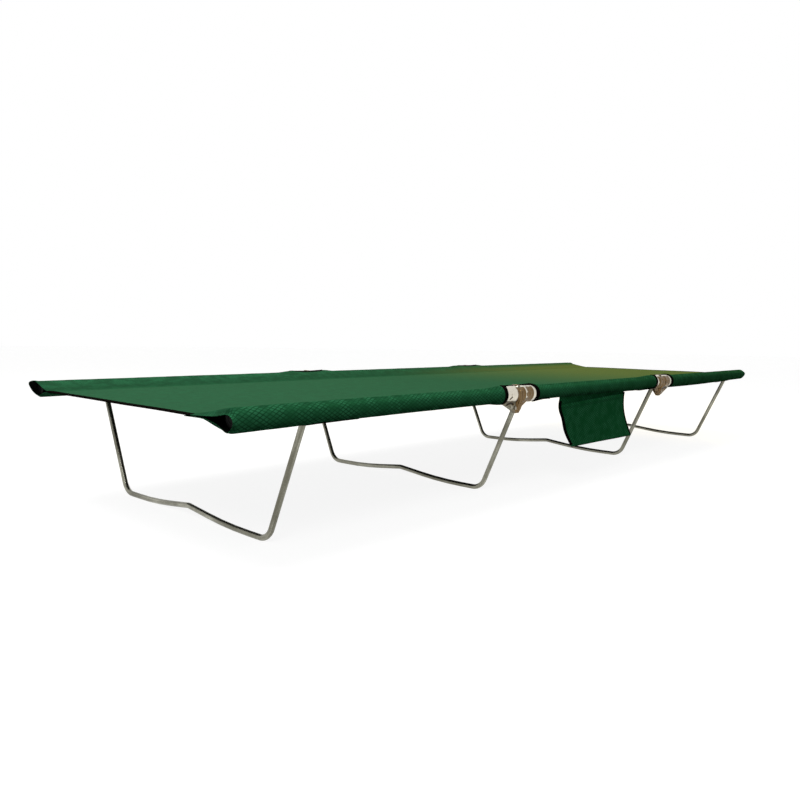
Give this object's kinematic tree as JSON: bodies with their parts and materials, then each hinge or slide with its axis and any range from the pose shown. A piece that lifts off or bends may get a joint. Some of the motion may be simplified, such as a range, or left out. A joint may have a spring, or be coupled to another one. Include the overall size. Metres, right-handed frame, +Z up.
{
  "type": "camping cot",
  "caption": "Low folding camp bed: a cloth panel with sewn sleeves on jointed rail tubes, carried by bent rod legs.",
  "frame": {"origin": "on the ground, under the middle of the bed", "axes": "+X along the bed from head to foot, +Y across it away from the pocket, +Z up"},
  "size_m": [1.9072, 0.6432, 0.2199],
  "materials": {
    "green_cloth": "woven, slight sheen",
    "black_tape": "matt",
    "aluminium": "satin",
    "cast_metal": "satin",
    "zinc_plated_steel": "satin",
    "black_plastic": "matt"
  },
  "bodies": {
    "middle_section": {"middle_cover": "green_cloth", "side_pocket": "green_cloth", "middle_near_rail": "aluminium", "middle_far_rail": "aluminium", "head_near_hinge_middle_half": "cast_metal", "head_near_hinge_pin": "zinc_plated_steel", "head_near_middle_leg_pin": "zinc_plated_steel", "head_far_hinge_middle_half": "cast_metal", "head_far_hinge_pin": "zinc_plated_steel", "head_far_middle_leg_pin": "zinc_plated_steel", "foot_near_hinge_middle_half": "cast_metal", "foot_near_hinge_pin": "zinc_plated_steel", "foot_near_middle_leg_pin": "zinc_plated_steel", "foot_far_hinge_middle_half": "cast_metal", "foot_far_hinge_pin": "zinc_plated_steel", "foot_far_middle_leg_pin": "zinc_plated_steel"},
    "head_section": {"head_cover": "green_cloth", "head_panel_binding": "black_tape", "head_near_rail": "aluminium", "head_near_rail_plug": "black_plastic", "head_near_hinge_end_half": "cast_metal", "head_near_rail_rivet": "zinc_plated_steel", "head_near_hinge_stud": "zinc_plated_steel", "head_near_end_leg_pin": "zinc_plated_steel", "head_far_rail": "aluminium", "head_far_rail_plug": "black_plastic", "head_far_hinge_end_half": "cast_metal", "head_far_rail_rivet": "zinc_plated_steel", "head_far_hinge_stud": "zinc_plated_steel", "head_far_end_leg_pin": "zinc_plated_steel"},
    "head_end_leg": {"head_end_leg": "zinc_plated_steel"},
    "head_middle_leg": {"head_middle_leg": "zinc_plated_steel"},
    "foot_section": {"foot_cover": "green_cloth", "foot_panel_binding": "black_tape", "foot_near_rail": "aluminium", "foot_near_rail_plug": "black_plastic", "foot_near_hinge_end_half": "cast_metal", "foot_near_rail_rivet": "zinc_plated_steel", "foot_near_hinge_stud": "zinc_plated_steel", "foot_near_end_leg_pin": "zinc_plated_steel", "foot_far_rail": "aluminium", "foot_far_rail_plug": "black_plastic", "foot_far_hinge_end_half": "cast_metal", "foot_far_rail_rivet": "zinc_plated_steel", "foot_far_hinge_stud": "zinc_plated_steel", "foot_far_end_leg_pin": "zinc_plated_steel"},
    "foot_end_leg": {"foot_end_leg": "zinc_plated_steel"},
    "foot_middle_leg": {"foot_middle_leg": "zinc_plated_steel"}
  },
  "joints": [
    {"name": "head_fold", "type": "hinge", "parent": "middle_section", "child": "head_section", "pos_m": [-0.3175, 0, 0.2145], "axis": [0, 1, 0], "range_deg": [0, 179]},
    {"name": "foot_fold", "type": "hinge", "parent": "middle_section", "child": "foot_section", "pos_m": [0.3175, 0, 0.2145], "axis": [0, 1, 0], "range_deg": [-179, 0]},
    {"name": "head_end_leg_swing", "type": "hinge", "parent": "head_section", "child": "head_end_leg", "pos_m": [-0.819, 0, 0.1985], "axis": [0, -1, 0], "range_deg": [0, 80]},
    {"name": "head_middle_leg_swing", "type": "hinge", "parent": "middle_section", "child": "head_middle_leg", "pos_m": [-0.302, 0, 0.1985], "axis": [0, -1, 0], "range_deg": [0, 80]},
    {"name": "foot_end_leg_swing", "type": "hinge", "parent": "foot_section", "child": "foot_end_leg", "pos_m": [0.819, 0, 0.1985], "axis": [0, 1, 0], "range_deg": [0, 80]},
    {"name": "foot_middle_leg_swing", "type": "hinge", "parent": "middle_section", "child": "foot_middle_leg", "pos_m": [0.302, 0, 0.1985], "axis": [0, 1, 0], "range_deg": [0, 80]}
  ]
}
